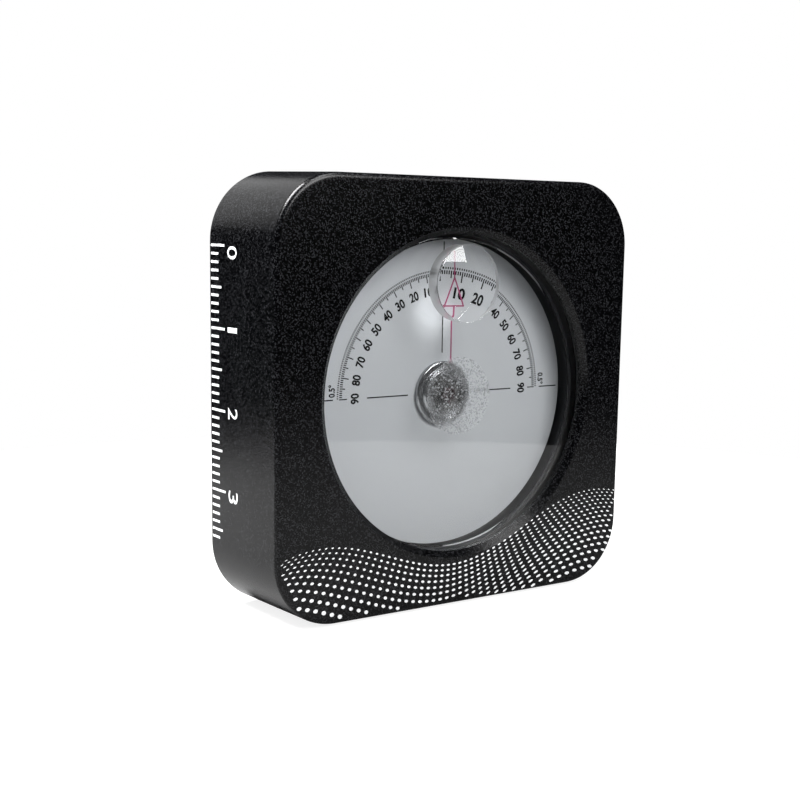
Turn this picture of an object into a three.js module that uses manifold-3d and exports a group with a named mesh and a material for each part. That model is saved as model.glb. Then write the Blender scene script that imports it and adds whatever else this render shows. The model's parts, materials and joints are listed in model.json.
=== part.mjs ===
// A pocket inclinometer: a square cast block whose weighted dial turns behind a round window.
// Lengths are in millimetres, +Z is up, +X is to the right and the front faces -Y.
// Inside the model the front face lies at y = 0 and the round opening's axis runs along Y through x = z = 0.
// The capsule with the dial sits a little lower.
import * as THREE from 'three';
import { mergeVertices } from 'three/addons/utils/BufferGeometryUtils.js';
import Module from 'manifold-3d';

// Block
const faceMargin = 6.145;
const draftPerSide = 0.325;
const cornerRadius = 8.29;
const frontEdgeRound = 0.6;
const rearEdgeChamfer = 0.3;
const sideWall = 2.0;
const rimWall = 1.6;

// Round opening in the front
const openingOverDial = 0.36;
const lipWidth = 0.68;
const lipDepth = 0.7;
const rimThickness = 1.38;
const frontWall = 2.3;
const capsuleDrop = 0.27;
const capsuleTubeWall = 1.6;

// Clearances
const seatGap = 0.02;
const fitGap = 0.15;
const runningGap = 0.1;
const bodyGap = 0.3;
const cutOverrun = 1.0;

// Window
const crystalThickness = 2.7;
const crystalChamfer = 0.2;
const lensRadius = 4.81;
const lensEdgeHeight = 1.85;
const lensCrownHeight = 1.1;
const lensFromEdge = 1.32;

// Bearings and staff
const bearingBossRadius = 1.9;
const frontBossHeight = 0.9;
const rearBossHeight = 1.6;
const jewelRadius = 1.0;
const jewelThickness = 0.6;
const jewelHoleRadius = 0.4;
const jewelEdge = 0.12;
const bearingSeatDepth = 0.15;
const staffRadius = 0.6;
const staffShoulderGap = 0.2;
const staffTipCone = 0.15;

// Dial and hub
const dialRadius = 19.7;
const dialGap = 1.9;
const dialThickness = 0.5;
const hubRadius = 4.15;
const hubHeight = 0.7;
const hubOuterStepRadius = 3.6;
const hubRingRadius = 3.1;
const hubDishRadius = 2.2;
const hubDishDepth = 0.45;
const hubGrooveDepth = 0.25;
const hubGrooveWidth = 0.25;
const hubEdgeRound = 0.12;
const hubSpigotRadius = 1.6;
const collarRadius = 2.9;
const collarThickness = 1.2;
const collarEdge = 0.2;
const weightInnerRadius = 8.0;
const weightFromRim = 1.4;
const weightHalfAngle = THREE.MathUtils.degToRad(62);
const weightThickness = 2.4;
const weightCornerRadius = 1.5;
const weightEdge = 0.25;
const weightRearGap = 2.7;
const bondGap = 0.1;

// Capsule
const dialSideGap = 0.6;
const cupWall = 1.0;
const cupFloor = 1.2;
const cupEdge = 0.3;
const gasketThickness = 0.3;
const gasketMargin = 0.05;
const cushionThickness = 1.5;
const cushionWidth = 5.5;
const cushionFromEdge = 2.6;
const cushionEdge = 0.3;
const plugOffset = 8.5;
const plugStemRadius = 1.1;
const plugHeadRadius = 1.85;
const plugHeadThickness = 0.55;
const plugReach = 0.4;
const plugEdge = 0.15;

// Back cover and its screws
const coverThickness = 1.5;
const coverInset = 0.1;
const coverEdge = 0.2;
const screwFromSide = 6.585;
const screwBossRadius = 2.7;
const screwHeadRadius = 1.9;
const screwHeadHeight = 1.0;
const screwHeadRim = 0.15;
const screwHeadInset = 0.1;
const screwRadius = 1.0;
const screwLength = 8.0;
const screwTip = 0.4;
const crossLength = 2.0;
const crossWidth = 0.45;
const crossDepth = 0.6;

// Magnets in the base
const magnetRadius = 3.0;
const magnetHeight = 3.0;
const magnetEdge = 0.25;
const magnetInset = 0.02;
const magnetPadWall = 1.2;
const magnetToBoss = 0.4;
const padToTie = 2.2;

// Facets
const openingSegments = 72;
const capsuleSegments = 48;
const hubSegments = 36;
const smallSegments = 20;
const weightArcSteps = 12;
const cornerSteps = 8;
const edgeSteps = 3;
const crownSteps = 5;

// Radii worked out from the dial outwards, and the block round them
const openingRadius = dialRadius + openingOverDial;
const lipRadius = openingRadius + lipWidth;
const blockWidth = 2 * (lipRadius + faceMargin);
const rearHalf = blockWidth / 2 + draftPerSide;
const cupInnerRadius = dialRadius + dialSideGap;
const cupOuterRadius = cupInnerRadius + cupWall;
const capsuleBoreRadius = cupOuterRadius + capsuleDrop + bodyGap;
const cushionOuterRadius = cupOuterRadius - cushionFromEdge;
const cushionInnerRadius = cushionOuterRadius - cushionWidth;
const weightOuterRadius = dialRadius - weightFromRim;
const lensCentreHeight = openingRadius + capsuleDrop - lensRadius - lensFromEdge;
const jewelSocketRadius = jewelRadius + fitGap;
const staffTipRadius = jewelHoleRadius - runningGap;
const recessHalf = rearHalf - rimWall;
const recessRadius = cornerRadius + draftPerSide - rimWall;

// Depths worked out from the front face backwards
const crystalFront = rimThickness + seatGap;
const crystalBack = crystalFront + crystalThickness;
const cupRim = crystalBack + seatGap + gasketThickness + seatGap;
const dialFace = crystalBack + dialGap;
const dialBack = dialFace + dialThickness;
const weightBack = dialBack + bondGap + weightThickness;
const cupFloorFront = weightBack + weightRearGap;
const cupBack = cupFloorFront + cupFloor;
const cushionFront = cupBack + seatGap;
const cushionBack = cushionFront + cushionThickness;
const coverInner = cushionBack + seatGap;
const coverOuter = coverInner + coverThickness;
const blockDepth = coverOuter + coverInset;
const frontBossEnd = crystalBack + frontBossHeight;
const rearBossEnd = cupFloorFront - rearBossHeight;
const socketDepth = bearingSeatDepth + jewelThickness;
const staffFrontShoulder = frontBossEnd + staffShoulderGap;
const staffRearShoulder = rearBossEnd - staffShoulderGap;
const staffFront = frontBossEnd - jewelThickness;
const staffRear = rearBossEnd + jewelThickness;
const hubFront = dialFace - hubHeight;
const screwFace = coverOuter - screwHeadInset;
const lensBase = crystalFront - seatGap;
const lensRim = crystalFront - lensEdgeHeight;
const lensCrown = lensRim - lensCrownHeight;

// How far the sides have spread at a depth behind the front face.
const draftAt = (y) => draftPerSide * y / blockDepth;
const baseLean = Math.atan2(draftPerSide, blockDepth);

// Places in the base and at the corners
const baseHalf = blockWidth / 2 + draftAt(blockDepth - rearEdgeChamfer);
const screwOffset = blockWidth / 2 - screwFromSide;
const magnetPocketRadius = magnetRadius + bodyGap;
const magnetPadRadius = magnetPocketRadius + magnetPadWall;
const magnetOffset = screwOffset - screwBossRadius - magnetToBoss - magnetPadRadius;
const magnetMiddle = (frontWall + coverInner) / 2;
const tubeTieWidth = 2 * (magnetOffset - magnetPadRadius - padToTie);
const magnetBottom = magnetInset - blockWidth / 2 - draftAt(magnetMiddle);
const magnetTop = magnetBottom + magnetHeight;

const wasm = await Module();
wasm.setup();

// A closed indexed geometry with positions only, without the flat triangles that merging leaves at a pole.
function closedGeometry(geometry) {
  const bare = geometry.clone();
  bare.deleteAttribute('normal');
  bare.deleteAttribute('uv');
  const merged = mergeVertices(bare);
  const kept = [];
  for (let i = 0; i < merged.index.count; i += 3) {
    const [a, b, c] = [merged.index.getX(i), merged.index.getX(i + 1), merged.index.getX(i + 2)];
    if (a !== b && b !== c && c !== a) kept.push(a, b, c);
  }
  merged.setIndex(kept);
  return merged;
}

function toSolid(geometry) {
  const closed = closedGeometry(geometry);
  return new wasm.Manifold(new wasm.Mesh({
    numProp: 3,
    vertProperties: Float32Array.from(closed.attributes.position.array),
    triVerts: Uint32Array.from(closed.index.array),
  }));
}

function toGeometry(solid) {
  const mesh = solid.getMesh();
  const geometry = new THREE.BufferGeometry();
  geometry.setAttribute('position', new THREE.BufferAttribute(mesh.vertProperties, 3));
  geometry.setIndex(new THREE.BufferAttribute(mesh.triVerts, 1));
  return geometry;
}

// Revolves a profile of [radius, y] points about the dial's axis. Its outer wall runs from front to rear.
function revolve(profile, segments) {
  const points = profile.map(([radius, y]) => new THREE.Vector2(radius, y));
  return closedGeometry(new THREE.LatheGeometry(points, segments));
}

// A ring of rectangular section.
function ring(inner, outer, front, back, segments) {
  return revolve([[outer, front], [outer, back], [inner, back], [inner, front], [outer, front]], segments);
}

// A ring of rectangular section with chamfered corners.
function chamferedRing(inner, outer, front, back, edge, segments) {
  return revolve([
    [outer - edge, front],
    [outer, front + edge],
    [outer, back - edge],
    [outer - edge, back],
    [inner + edge, back],
    [inner, back - edge],
    [inner, front + edge],
    [inner + edge, front],
    [outer - edge, front],
  ], segments);
}

function cylinderBetween(radius, front, back, segments) {
  return revolve([[0, front], [radius, front], [radius, back], [0, back]], segments);
}

// The points of a square with rounded corners, running counter-clockwise as seen from the front.
function roundedSquare(half, radius) {
  const points = [];
  for (let corner = 0; corner < 4; corner += 1) {
    for (let step = 0; step <= cornerSteps; step += 1) {
      const angle = (corner + step / cornerSteps) * Math.PI / 2;
      const middle = (corner + 1 / 2) * Math.PI / 2;
      const x = Math.sign(Math.cos(middle)) * (half - radius) + radius * Math.cos(angle);
      const z = Math.sign(Math.sin(middle)) * (half - radius) + radius * Math.sin(angle);
      points.push([x, z]);
    }
  }
  return points;
}

// Joins rounded squares, given front to rear as { y, half, radius }, into one closed block.
function loft(sections) {
  const rings = sections.map(({ half, radius }) => roundedSquare(half, radius));
  const count = rings[0].length;
  const positions = [];
  sections.forEach(({ y }, level) => rings[level].forEach(([x, z]) => positions.push(x, y, z)));
  const frontCentre = sections.length * count;
  const rearCentre = frontCentre + 1;
  const last = sections.length - 1;
  positions.push(0, sections[0].y, 0, 0, sections[last].y, 0);
  const faces = [];
  for (let i = 0; i < count; i += 1) {
    const next = (i + 1) % count;
    for (let level = 0; level < last; level += 1) {
      const [a, b] = [level * count + i, level * count + next];
      const [c, d] = [b + count, a + count];
      faces.push(a, d, b, b, d, c);
    }
    faces.push(frontCentre, i, next, rearCentre, last * count + next, last * count + i);
  }
  const geometry = new THREE.BufferGeometry();
  geometry.setAttribute('position', new THREE.Float32BufferAttribute(positions, 3));
  geometry.setIndex(faces);
  return closedGeometry(geometry);
}

// The half width and corner radius of the block at a depth, drawn in by an inset all round.
function blockSection(y, inset) {
  return {
    y,
    half: blockWidth / 2 + draftAt(y) - inset,
    radius: cornerRadius + draftAt(y) - inset,
  };
}

function blockBody() {
  const sections = [];
  for (let step = 0; step <= edgeSteps; step += 1) {
    const turn = step / edgeSteps * Math.PI / 2;
    sections.push(blockSection(frontEdgeRound * (1 - Math.cos(turn)), frontEdgeRound * (1 - Math.sin(turn))));
  }
  sections.push(blockSection(blockDepth - rearEdgeChamfer, 0));
  sections.push(blockSection(blockDepth, rearEdgeChamfer));
  return toSolid(loft(sections));
}

// Everything that the opening takes out, from the sloping lip to the capsule's bore.
function openingCut() {
  return toSolid(revolve([
    [0, -cutOverrun],
    [lipRadius, -cutOverrun],
    [lipRadius, 0],
    [openingRadius, lipDepth],
    [openingRadius, rimThickness],
    [capsuleBoreRadius, rimThickness],
    [capsuleBoreRadius, coverInner + cutOverrun],
    [0, coverInner + cutOverrun],
  ], openingSegments));
}

function coverRecessCut() {
  return toSolid(loft([
    { y: coverInner, half: recessHalf, radius: recessRadius },
    { y: blockDepth + cutOverrun, half: recessHalf, radius: recessRadius },
  ]));
}

// The four hollow corners between the capsule's tube and the side walls, less the bosses for the screws and
// the pads round the magnets, which run up into the tube.
function cornerPocketsCut() {
  const rear = coverInner + cutOverrun;
  const length = rear - frontWall + 2 * cutOverrun;
  const half = blockWidth / 2 - sideWall;
  let pockets = toSolid(loft([
    { y: frontWall, half, radius: cornerRadius - sideWall },
    { y: rear, half, radius: cornerRadius - sideWall },
  ]));
  const tubeRadius = capsuleBoreRadius + capsuleTubeWall;
  pockets = pockets.subtract(toSolid(
    cylinderBetween(tubeRadius, frontWall - cutOverrun, rear + cutOverrun, openingSegments)));
  for (const [width, height] of [[tubeTieWidth, blockWidth], [blockWidth, tubeTieWidth]]) {
    const tie = new THREE.BoxGeometry(width, length, height).translate(0, (frontWall + rear) / 2, 0);
    pockets = pockets.subtract(toSolid(tie));
  }
  for (const [x, z] of screwPlaces()) {
    const boss = cylinderBetween(screwBossRadius, frontWall - cutOverrun, rear + cutOverrun, smallSegments);
    pockets = pockets.subtract(toSolid(boss.translate(x, 0, z)));
  }
  for (const side of [-1, 1]) {
    pockets = pockets.subtract(toSolid(uprightCylinder(magnetPadRadius, -blockWidth / 2, 0,
      side * magnetOffset)));
  }
  return pockets;
}

function screwPlaces() {
  const places = [];
  for (const z of [-screwOffset, screwOffset]) {
    for (const x of [-screwOffset, screwOffset]) places.push([x, z]);
  }
  return places;
}

// A cylinder that stands upright in the base, over a magnet's place.
function uprightCylinder(radius, bottom, top, x) {
  const cylinder = new THREE.CylinderGeometry(radius, radius, top - bottom, smallSegments);
  return cylinder.rotateX(Math.PI / 2).translate(x, magnetMiddle, (bottom + top) / 2);
}

function housing() {
  let body = blockBody();
  body = body.subtract(cornerPocketsCut());
  body = body.subtract(openingCut());
  body = body.subtract(coverRecessCut());
  for (const [x, z] of screwPlaces()) {
    const hole = cylinderBetween(screwRadius + fitGap, coverInner - screwLength,
      coverInner + cutOverrun, smallSegments);
    body = body.subtract(toSolid(hole.translate(x, 0, z)));
  }
  for (const side of [-1, 1]) {
    body = body.subtract(toSolid(uprightCylinder(magnetPocketRadius,
      -rearHalf - cutOverrun, magnetTop + bodyGap, side * magnetOffset)));
  }
  return toGeometry(body);
}

// The cover has a countersunk hole over each boss.
function backCover() {
  const half = recessHalf - bodyGap;
  const radius = recessRadius - bodyGap;
  let plate = toSolid(loft([
    { y: coverInner + seatGap, half, radius },
    { y: coverOuter - coverEdge, half, radius },
    { y: coverOuter, half: half - coverEdge, radius: radius - coverEdge },
  ]));
  for (const [x, z] of screwPlaces()) {
    const countersink = revolve([
      [0, coverInner - cutOverrun],
      [screwRadius + fitGap, coverInner - cutOverrun],
      [screwRadius + fitGap, screwFace - screwHeadHeight],
      [screwHeadRadius + fitGap, screwFace - screwHeadRim],
      [screwHeadRadius + fitGap, coverOuter + cutOverrun],
      [0, coverOuter + cutOverrun],
    ], smallSegments);
    plate = plate.subtract(toSolid(countersink.translate(x, 0, z)));
  }
  return toGeometry(plate);
}

// A countersunk screw with a cross recess, its head towards the rear.
function coverScrew() {
  let screw = toSolid(revolve([
    [0, screwFace - screwLength],
    [screwRadius - screwTip, screwFace - screwLength],
    [screwRadius, screwFace - screwLength + screwTip],
    [screwRadius, screwFace - screwHeadHeight],
    [screwHeadRadius, screwFace - screwHeadRim],
    [screwHeadRadius, screwFace],
    [0, screwFace],
  ], smallSegments));
  for (const [width, height] of [[crossLength, crossWidth], [crossWidth, crossLength]]) {
    const slot = new THREE.BoxGeometry(width, 2 * crossDepth, height).translate(0, screwFace, 0);
    screw = screw.subtract(toSolid(slot));
  }
  return toGeometry(screw);
}

function baseMagnet() {
  const half = magnetHeight / 2;
  return revolve([
    [0, -half],
    [magnetRadius - magnetEdge, -half],
    [magnetRadius, magnetEdge - half],
    [magnetRadius, half - magnetEdge],
    [magnetRadius - magnetEdge, half],
    [0, half],
  ], smallSegments);
}

// A thick clear disc that seats against the back of the rim, with a bearing boss on its own back.
function crystal() {
  return revolve([
    [0, crystalFront],
    [cupOuterRadius - crystalChamfer, crystalFront],
    [cupOuterRadius, crystalFront + crystalChamfer],
    [cupOuterRadius, crystalBack],
    [bearingBossRadius, crystalBack],
    [bearingBossRadius, frontBossEnd],
    [jewelSocketRadius, frontBossEnd],
    [jewelSocketRadius, frontBossEnd - socketDepth],
    [0, frontBossEnd - socketDepth],
  ], openingSegments);
}

// A short glass cylinder with a domed front.
function magnifierLens() {
  const crownRadius = (lensRadius ** 2 + lensCrownHeight ** 2) / (2 * lensCrownHeight);
  const crownAngle = Math.asin(lensRadius / crownRadius);
  const profile = [];
  for (let step = 0; step <= crownSteps; step += 1) {
    const turn = crownAngle * step / crownSteps;
    profile.push([crownRadius * Math.sin(turn), lensCrown + crownRadius * (1 - Math.cos(turn))]);
  }
  profile.push([lensRadius, lensBase], [0, lensBase]);
  return revolve(profile, hubSegments);
}

function capsuleGasket() {
  return ring(cupInnerRadius + gasketMargin, cupOuterRadius - gasketMargin, crystalBack + seatGap,
    cupRim - seatGap, capsuleSegments);
}

// A round tray with a bearing boss in the middle of its floor and a stepped filler hole beside it.
function capsuleCup() {
  const tray = toSolid(revolve([
    [0, rearBossEnd + socketDepth],
    [jewelSocketRadius, rearBossEnd + socketDepth],
    [jewelSocketRadius, rearBossEnd],
    [bearingBossRadius, rearBossEnd],
    [bearingBossRadius, cupFloorFront],
    [cupInnerRadius, cupFloorFront],
    [cupInnerRadius, cupRim],
    [cupOuterRadius, cupRim],
    [cupOuterRadius, cupBack - cupEdge],
    [cupOuterRadius - cupEdge, cupBack],
    [0, cupBack],
  ], capsuleSegments));
  const hole = cylinderBetween(plugStemRadius + fitGap, cupFloorFront - cutOverrun,
    cupBack + cutOverrun, smallSegments).translate(0, 0, plugOffset);
  const headSeat = cylinderBetween(plugHeadRadius + fitGap, cupBack - plugHeadThickness - seatGap,
    cupBack + cutOverrun, smallSegments).translate(0, 0, plugOffset);
  return toGeometry(tray.subtract(toSolid(hole)).subtract(toSolid(headSeat)));
}

function fillerPlug() {
  const headFront = cupBack - plugHeadThickness;
  return revolve([
    [0, cupFloorFront - plugReach],
    [plugStemRadius - plugEdge, cupFloorFront - plugReach],
    [plugStemRadius, cupFloorFront - plugReach + plugEdge],
    [plugStemRadius, headFront],
    [plugHeadRadius, headFront],
    [plugHeadRadius, cupBack - plugEdge],
    [plugHeadRadius - plugEdge, cupBack],
    [0, cupBack],
  ], smallSegments);
}

function cushionRing() {
  return chamferedRing(cushionInnerRadius, cushionOuterRadius, cushionFront, cushionBack,
    cushionEdge, capsuleSegments);
}

function jewel(front) {
  return chamferedRing(jewelHoleRadius, jewelRadius, front, front + jewelThickness, jewelEdge, smallSegments);
}

// A plain axle with a thinner pivot at each end.
function pivotStaff() {
  return revolve([
    [0, staffFront],
    [staffTipRadius - staffTipCone, staffFront],
    [staffTipRadius, staffFront + staffTipCone],
    [staffTipRadius, staffFrontShoulder],
    [staffRadius, staffFrontShoulder],
    [staffRadius, staffRearShoulder],
    [staffTipRadius, staffRearShoulder],
    [staffTipRadius, staffRear - staffTipCone],
    [staffTipRadius - staffTipCone, staffRear],
    [0, staffRear],
  ], smallSegments);
}

function dialDisc() {
  return ring(hubSpigotRadius + fitGap, dialRadius, dialFace, dialBack, openingSegments);
}

// A turned hub: a rounded rim, a groove, a raised ring and a dished middle, with a spigot through the dial.
function dialHub() {
  const bore = staffRadius + fitGap;
  const seat = dialFace - seatGap;
  const spigotEnd = dialBack + collarThickness;
  return revolve([
    [bore, hubFront + hubDishDepth],
    [hubDishRadius - hubGrooveWidth, hubFront + hubDishDepth],
    [hubDishRadius, hubFront + hubEdgeRound],
    [hubDishRadius + hubEdgeRound, hubFront],
    [hubRingRadius - hubEdgeRound, hubFront],
    [hubRingRadius, hubFront + hubEdgeRound],
    [hubRingRadius, hubFront + hubGrooveDepth],
    [hubRingRadius + hubGrooveWidth, hubFront + hubGrooveDepth],
    [hubRingRadius + hubGrooveWidth, hubFront + hubEdgeRound],
    [hubOuterStepRadius, hubFront + hubEdgeRound],
    [hubOuterStepRadius + hubEdgeRound, hubFront + 2 * hubEdgeRound],
    [hubRadius - hubEdgeRound, hubFront + hubGrooveDepth + hubEdgeRound],
    [hubRadius, hubFront + hubGrooveDepth + 2 * hubEdgeRound],
    [hubRadius, seat],
    [hubSpigotRadius, seat],
    [hubSpigotRadius, spigotEnd],
    [bore, spigotEnd],
    [bore, hubFront + hubDishDepth],
  ], hubSegments);
}

function hubCollar() {
  return chamferedRing(hubSpigotRadius + fitGap, collarRadius, dialBack + seatGap,
    dialBack + collarThickness, collarEdge, hubSegments);
}

// A ring sector with rounded corners, drawn above the axis and turned to hang below it.
function balanceWeight() {
  const [inner, outer] = [weightInnerRadius, weightOuterRadius];
  const innerTurn = weightCornerRadius / (inner + weightCornerRadius);
  const outerTurn = weightCornerRadius / (outer - weightCornerRadius);
  const half = Math.PI / 2;
  const shape = new THREE.Shape();
  shape.absarc(0, 0, outer, half - weightHalfAngle + outerTurn, half + weightHalfAngle - outerTurn, false);
  const at = (radius, angle) => [radius * Math.cos(angle), radius * Math.sin(angle)];
  const left = half + weightHalfAngle;
  const right = half - weightHalfAngle;
  shape.quadraticCurveTo(...at(outer, left), ...at(outer - weightCornerRadius, left));
  shape.lineTo(...at(inner + weightCornerRadius, left));
  shape.quadraticCurveTo(...at(inner, left), ...at(inner, left - innerTurn));
  shape.absarc(0, 0, inner, left - innerTurn, right + innerTurn, true);
  shape.quadraticCurveTo(...at(inner, right), ...at(inner + weightCornerRadius, right));
  shape.lineTo(...at(outer - weightCornerRadius, right));
  shape.quadraticCurveTo(...at(outer, right), ...at(outer, right + outerTurn));
  const geometry = new THREE.ExtrudeGeometry(shape, {
    depth: weightThickness - 2 * weightEdge,
    bevelEnabled: true,
    bevelThickness: weightEdge,
    bevelSize: weightEdge,
    bevelOffset: -weightEdge,
    bevelSegments: 1,
    curveSegments: weightArcSteps,
  });
  geometry.rotateX(-Math.PI / 2).translate(0, dialBack + bondGap + weightEdge, 0);
  return closedGeometry(geometry);
}

const blackPaint = new THREE.MeshStandardMaterial({ color: 0x0d0e10, roughness: 0.55, metalness: 0.1 });
const blackPlastic = new THREE.MeshStandardMaterial({ color: 0x101113, roughness: 0.5, metalness: 0.0 });
const clearPlastic = new THREE.MeshStandardMaterial({
  color: 0xe8eef2, roughness: 0.03, metalness: 0.0, transparent: true, opacity: 0.25,
});
const dialSilver = new THREE.MeshStandardMaterial({ color: 0xacb0b3, roughness: 0.4, metalness: 0.3 });
const polishedSteel = new THREE.MeshStandardMaterial({ color: 0xc8cacc, roughness: 0.12, metalness: 1.0 });
const brass = new THREE.MeshStandardMaterial({ color: 0xb08d46, roughness: 0.35, metalness: 1.0 });
const jewelRed = new THREE.MeshStandardMaterial({ color: 0x9c2038, roughness: 0.1, metalness: 0.0 });
const blackRubber = new THREE.MeshStandardMaterial({ color: 0x121212, roughness: 0.9, metalness: 0.0 });
const nickel = new THREE.MeshStandardMaterial({ color: 0xb9bbbd, roughness: 0.25, metalness: 1.0 });

const inclinometer = new THREE.Group();
const block = new THREE.Group();
block.position.set(0, -(lensCrown + blockDepth) / 2, baseHalf);
inclinometer.add(block);
const capsule = new THREE.Group();
capsule.position.set(0, 0, -capsuleDrop);
block.add(capsule);

function place(group, name, geometry, material, x = 0, y = 0, z = 0) {
  const mesh = new THREE.Mesh(geometry, material);
  mesh.name = name;
  mesh.position.set(x, y, z);
  group.add(mesh);
  return mesh;
}

place(block, 'housing', housing(), blackPaint);
place(block, 'back_cover', backCover(), blackPaint);
screwPlaces().forEach(([x, z], index) => {
  place(block, `cover_screw_${index + 1}`, coverScrew(), nickel, x, 0, z);
});
// The magnets stand square to the leaning base, all but flush with it.
for (const [name, side] of [['base_magnet_left', -1], ['base_magnet_right', 1]]) {
  const magnet = place(block, name, baseMagnet(), nickel, side * magnetOffset, magnetMiddle,
    (magnetBottom + magnetTop) / 2);
  magnet.rotation.x = Math.PI / 2 - baseLean;
}
place(capsule, 'crystal', crystal(), clearPlastic);
place(capsule, 'magnifier_lens', magnifierLens(), clearPlastic, 0, 0, lensCentreHeight);
place(capsule, 'capsule_gasket', capsuleGasket(), blackRubber);
place(capsule, 'capsule_cup', capsuleCup(), blackPlastic);
place(capsule, 'filler_plug', fillerPlug(), brass, 0, 0, plugOffset);
place(capsule, 'cushion_ring', cushionRing(), blackRubber);
place(capsule, 'front_jewel', jewel(frontBossEnd - jewelThickness), jewelRed);
place(capsule, 'rear_jewel', jewel(rearBossEnd), jewelRed);
place(capsule, 'pivot_staff', pivotStaff(), polishedSteel);
place(capsule, 'dial_disc', dialDisc(), dialSilver);
place(capsule, 'dial_hub', dialHub(), polishedSteel);
place(capsule, 'hub_collar', hubCollar(), brass);
place(capsule, 'balance_weight', balanceWeight(), brass);

export default inclinometer;
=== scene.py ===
"""The looks of a pocket inclinometer: a square black block with a weighted dial behind a round window.

Sizes are in millimetres, measured from the middle of the round opening (x to the right, z up)
and from the block's front face (depth, to the rear). The function at() turns them into the frame's
metres. The capsule with the dial sits a little lower, at CAPSULE_Z. A profile is a list of
(radius, depth) points that is turned about the middle.
"""

import json
import math

import bmesh
import bpy
from mathutils import Matrix, Vector

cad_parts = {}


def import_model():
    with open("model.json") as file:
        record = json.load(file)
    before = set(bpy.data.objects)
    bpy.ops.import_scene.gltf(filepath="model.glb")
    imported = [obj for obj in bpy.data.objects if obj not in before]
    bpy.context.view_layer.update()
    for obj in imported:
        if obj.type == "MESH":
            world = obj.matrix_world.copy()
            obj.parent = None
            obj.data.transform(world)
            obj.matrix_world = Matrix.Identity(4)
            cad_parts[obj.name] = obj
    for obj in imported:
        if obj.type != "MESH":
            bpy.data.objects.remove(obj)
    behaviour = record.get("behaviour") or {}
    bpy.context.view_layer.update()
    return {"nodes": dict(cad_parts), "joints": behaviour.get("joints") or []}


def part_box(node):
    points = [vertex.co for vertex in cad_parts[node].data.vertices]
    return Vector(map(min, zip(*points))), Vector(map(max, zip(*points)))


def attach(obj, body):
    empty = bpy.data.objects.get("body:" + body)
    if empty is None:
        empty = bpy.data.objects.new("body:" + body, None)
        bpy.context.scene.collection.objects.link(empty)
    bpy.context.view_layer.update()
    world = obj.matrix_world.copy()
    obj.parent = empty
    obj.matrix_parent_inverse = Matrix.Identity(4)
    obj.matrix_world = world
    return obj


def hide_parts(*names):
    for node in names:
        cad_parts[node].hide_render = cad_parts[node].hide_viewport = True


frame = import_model()

MM = 0.001
AXIS = Vector(frame["joints"][0]["pos_m"])
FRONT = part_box("housing")[0].y
MIDDLE = (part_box("housing")[0].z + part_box("housing")[1].z) / 2
CAPSULE_Z = (AXIS.z - MIDDLE) / MM

# Camera, as a real place and real angles, and where the lens axis meets the 800 pixel picture
PICTURE_PX = 800
CAMERA_PLACE = Vector((-103.70, -144.265, 48.40)) * MM
CAMERA_AZIMUTH = math.radians(-35.88)
CAMERA_ELEVATION = math.radians(9.36)
CAMERA_ROLL = math.radians(1.09)
FOCAL_PX = 1375.9
LENS_AXIS_PX = (433.5, 450.4)
SENSOR = 36.0

# Block
FRONT_HALF = 26.885
BLOCK_DEPTH = 16.04
DRAFT = 0.325
CORNER_RADIUS = 8.29
FRONT_ROUND = 0.6
REAR_ROUND = 0.3
FACE_INSET = 0.25
RIM_WALL = 1.6
COVER_GAP = 0.3

# Opening
LIP_RADIUS = 20.74
LIP_DEPTH = 0.7
LIP_EDGE = 0.08
OPENING_RADIUS = 20.06
RIM_THICKNESS = 1.38
BORE_RADIUS = 21.87

# Window and its lens
CRYSTAL_FRONT = 1.4
CRYSTAL_BACK = 4.1
CRYSTAL_RADIUS = 21.3
CRYSTAL_EDGE = 0.2
GROOVE_RADIUS = 19.78
GROOVE_WIDTH = 0.18
BOSS_RADIUS = 1.9
BOSS_BACK = 5.0
SOCKET_RADIUS = 1.15
SOCKET_FRONT = 4.25
FROST_RADIUS = 4.95
FROST_X = 0.2
FROST_GRAIN = 0.17
LENS_RADIUS = 4.81
LENS_Z = 13.93
LENS_BASE = 1.6
LENS_RIM = -0.45
LENS_CROWN = -1.1
LENS_EDGE = 0.08
LENS_TIP = 0.02
DOME_STEPS = 16

# Dial and hub
DIAL_RADIUS = 19.7
DIAL_FRONT = 6.0
DIAL_BACK = 6.5
DIAL_BORE = 1.75
DIAL_EDGE = 0.05

HUB_RADIUS = 4.15
HUB_BORE = 0.75
HUB_SPIGOT = 1.6
HUB_SEAT = 5.98
HUB_END = 7.7
HUB_DISH = 5.85
HUB_DARK_RADIUS = 2.23
HUB_RING = [(2.2, HUB_DISH), (2.2, 5.36), (2.26, 5.3), (2.95, 5.3), (3.05, 5.36)]
HUB_GROOVE = [(3.2, 5.6), (3.25, 5.6)]
HUB_STEP = [(3.32, 5.42), (4.0, 5.42), (4.1, 5.5), (HUB_RADIUS, 5.6)]
HUB_EDGE = 0.03

# Capsule cup
CUP_INNER = 20.3
CUP_OUTER = 21.3
CUP_RIM = 4.44
CUP_FLOOR = 11.7
CUP_BACK = 12.9
CUP_EDGE = 0.08
REAR_BOSS_FRONT = 10.1
REAR_SOCKET = 10.85
PLUG_Z = 8.5
PLUG_HEAD = 2.0
PLUG_HEAD_DEPTH = 0.57
PLUG_STEM = 1.25

# Cover, screws and magnets
COVER_FRONT = 14.46
COVER_BACK = 15.94
COVER_SEAT = 14.44
COVER_EDGE = 0.15
MAGNET_POCKET = 3.3
MAGNET_FIT = 0.3
MAGNET_EDGE = 0.25
SCREW_OFFSET = 20.3
SCREW_FACE = 15.84
SCREW_EDGE = 0.06
SCREW_HEAD = 1.9
SCREW_HEAD_HEIGHT = 1.0
SCREW_HEAD_RIM = 0.15
SCREW_SHANK = 1.0
SCREW_LENGTH = 8.0
SCREW_FIT = 0.15
CROSS_LENGTH = 2.0
CROSS_WIDTH = 0.45
CROSS_DEPTH = 0.6

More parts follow.
